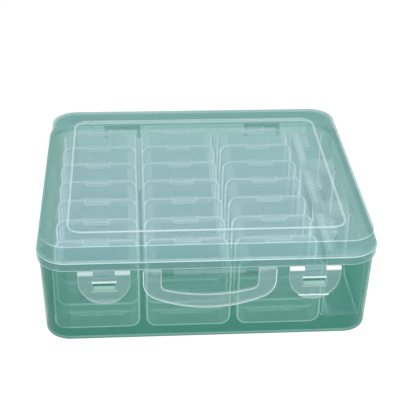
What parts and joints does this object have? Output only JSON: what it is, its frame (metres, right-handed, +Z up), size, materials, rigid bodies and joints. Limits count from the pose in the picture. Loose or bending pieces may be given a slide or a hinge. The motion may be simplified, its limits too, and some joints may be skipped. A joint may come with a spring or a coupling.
{
  "type": "photo keeper case",
  "caption": "Carry case with a translucent green base, clear hinged lid, front latches and a fold-down handle, filled with small clear snap-shut boxes standing on edge in rows.",
  "frame": {"origin": "middle of the base's underside, on the surface that the case stands on", "axes": "+X to the right along the case's width, -Y towards the latches and handle, +Z up"},
  "size_m": [0.2398, 0.2201, 0.08],
  "materials": {
    "green_base": "smooth translucent green polypropylene",
    "clear_lid": "smooth natural polypropylene, slightly hazy and bluish",
    "clear_fittings": "smooth natural polypropylene",
    "clear_boxes": "thin natural polypropylene, slightly hazy"
  },
  "bodies": {
    "case_base": {"case_base": "green_base"},
    "case_lid": {"case_lid": "clear_lid"},
    "latch_left": {"latch_left": "clear_fittings"},
    "latch_right": {"latch_right": "clear_fittings"},
    "carry_handle": {"carry_handle": "clear_fittings"},
    "small_box_01": {"box_tray_01": "clear_boxes", "box_lid_01": "clear_boxes"},
    "small_box_02": {"box_tray_02": "clear_boxes", "box_lid_02": "clear_boxes"},
    "small_box_03": {"box_tray_03": "clear_boxes", "box_lid_03": "clear_boxes"},
    "small_box_04": {"box_tray_04": "clear_boxes", "box_lid_04": "clear_boxes"},
    "small_box_05": {"box_tray_05": "clear_boxes", "box_lid_05": "clear_boxes"},
    "small_box_06": {"box_tray_06": "clear_boxes", "box_lid_06": "clear_boxes"},
    "small_box_07": {"box_tray_07": "clear_boxes", "box_lid_07": "clear_boxes"},
    "small_box_08": {"box_tray_08": "clear_boxes", "box_lid_08": "clear_boxes"},
    "small_box_09": {"box_tray_09": "clear_boxes", "box_lid_09": "clear_boxes"},
    "small_box_10": {"box_tray_10": "clear_boxes", "box_lid_10": "clear_boxes"},
    "small_box_11": {"box_tray_11": "clear_boxes", "box_lid_11": "clear_boxes"},
    "small_box_12": {"box_tray_12": "clear_boxes", "box_lid_12": "clear_boxes"},
    "small_box_13": {"box_tray_13": "clear_boxes", "box_lid_13": "clear_boxes"},
    "small_box_14": {"box_tray_14": "clear_boxes", "box_lid_14": "clear_boxes"},
    "small_box_15": {"box_tray_15": "clear_boxes", "box_lid_15": "clear_boxes"},
    "small_box_16": {"box_tray_16": "clear_boxes", "box_lid_16": "clear_boxes"},
    "small_box_17": {"box_tray_17": "clear_boxes", "box_lid_17": "clear_boxes"},
    "small_box_18": {"box_tray_18": "clear_boxes", "box_lid_18": "clear_boxes"},
    "small_box_19": {"box_tray_19": "clear_boxes", "box_lid_19": "clear_boxes"},
    "small_box_20": {"box_tray_20": "clear_boxes", "box_lid_20": "clear_boxes"},
    "small_box_21": {"box_tray_21": "clear_boxes", "box_lid_21": "clear_boxes"},
    "small_box_22": {"box_tray_22": "clear_boxes", "box_lid_22": "clear_boxes"},
    "small_box_23": {"box_tray_23": "clear_boxes", "box_lid_23": "clear_boxes"},
    "small_box_24": {"box_tray_24": "clear_boxes", "box_lid_24": "clear_boxes"}
  },
  "joints": [
    {"name": "lid_hinge", "type": "hinge", "parent": "case_base", "child": "case_lid", "pos_m": [0, 0.10728, 0.0621], "axis": [-1, 0, 0], "range_deg": [0, 180]},
    {"name": "latch_left_pivot", "type": "hinge", "parent": "case_lid", "child": "latch_left", "pos_m": [-0.073, -0.10695, 0.0611], "axis": [-1, 0, 0], "range_deg": [0, 150]},
    {"name": "latch_right_pivot", "type": "hinge", "parent": "case_lid", "child": "latch_right", "pos_m": [0.073, -0.10695, 0.0611], "axis": [-1, 0, 0], "range_deg": [0, 150]},
    {"name": "handle_pivot", "type": "hinge", "parent": "case_base", "child": "carry_handle", "pos_m": [0, -0.10615, 0.0601], "axis": [-1, 0, 0], "range_deg": [0, 150]},
    {"name": "lift_box_01", "type": "slide", "parent": "case_base", "child": "small_box_01", "axis": [0, 0, 1], "range_m": [0, 0.0075]},
    {"name": "lift_box_02", "type": "slide", "parent": "case_base", "child": "small_box_02", "axis": [0, 0, 1], "range_m": [0, 0.0075]},
    {"name": "lift_box_03", "type": "slide", "parent": "case_base", "child": "small_box_03", "axis": [0, 0, 1], "range_m": [0, 0.0075]},
    {"name": "lift_box_04", "type": "slide", "parent": "case_base", "child": "small_box_04", "axis": [0, 0, 1], "range_m": [0, 0.0075]},
    {"name": "lift_box_05", "type": "slide", "parent": "case_base", "child": "small_box_05", "axis": [0, 0, 1], "range_m": [0, 0.0075]},
    {"name": "lift_box_06", "type": "slide", "parent": "case_base", "child": "small_box_06", "axis": [0, 0, 1], "range_m": [0, 0.0075]},
    {"name": "lift_box_07", "type": "slide", "parent": "case_base", "child": "small_box_07", "axis": [0, 0, 1], "range_m": [0, 0.0075]},
    {"name": "lift_box_08", "type": "slide", "parent": "case_base", "child": "small_box_08", "axis": [0, 0, 1], "range_m": [0, 0.0075]},
    {"name": "lift_box_09", "type": "slide", "parent": "case_base", "child": "small_box_09", "axis": [0, 0, 1], "range_m": [0, 0.0075]},
    {"name": "lift_box_10", "type": "slide", "parent": "case_base", "child": "small_box_10", "axis": [0, 0, 1], "range_m": [0, 0.0075]},
    {"name": "lift_box_11", "type": "slide", "parent": "case_base", "child": "small_box_11", "axis": [0, 0, 1], "range_m": [0, 0.0075]},
    {"name": "lift_box_12", "type": "slide", "parent": "case_base", "child": "small_box_12", "axis": [0, 0, 1], "range_m": [0, 0.0075]},
    {"name": "lift_box_13", "type": "slide", "parent": "case_base", "child": "small_box_13", "axis": [0, 0, 1], "range_m": [0, 0.0075]},
    {"name": "lift_box_14", "type": "slide", "parent": "case_base", "child": "small_box_14", "axis": [0, 0, 1], "range_m": [0, 0.0075]},
    {"name": "lift_box_15", "type": "slide", "parent": "case_base", "child": "small_box_15", "axis": [0, 0, 1], "range_m": [0, 0.0075]},
    {"name": "lift_box_16", "type": "slide", "parent": "case_base", "child": "small_box_16", "axis": [0, 0, 1], "range_m": [0, 0.0075]},
    {"name": "lift_box_17", "type": "slide", "parent": "case_base", "child": "small_box_17", "axis": [0, 0, 1], "range_m": [0, 0.0075]},
    {"name": "lift_box_18", "type": "slide", "parent": "case_base", "child": "small_box_18", "axis": [0, 0, 1], "range_m": [0, 0.0075]},
    {"name": "lift_box_19", "type": "slide", "parent": "case_base", "child": "small_box_19", "axis": [0, 0, 1], "range_m": [0, 0.0075]},
    {"name": "lift_box_20", "type": "slide", "parent": "case_base", "child": "small_box_20", "axis": [0, 0, 1], "range_m": [0, 0.0075]},
    {"name": "lift_box_21", "type": "slide", "parent": "case_base", "child": "small_box_21", "axis": [0, 0, 1], "range_m": [0, 0.0075]},
    {"name": "lift_box_22", "type": "slide", "parent": "case_base", "child": "small_box_22", "axis": [0, 0, 1], "range_m": [0, 0.0075]},
    {"name": "lift_box_23", "type": "slide", "parent": "case_base", "child": "small_box_23", "axis": [0, 0, 1], "range_m": [0, 0.0075]},
    {"name": "lift_box_24", "type": "slide", "parent": "case_base", "child": "small_box_24", "axis": [0, 0, 1], "range_m": [0, 0.0075]}
  ]
}
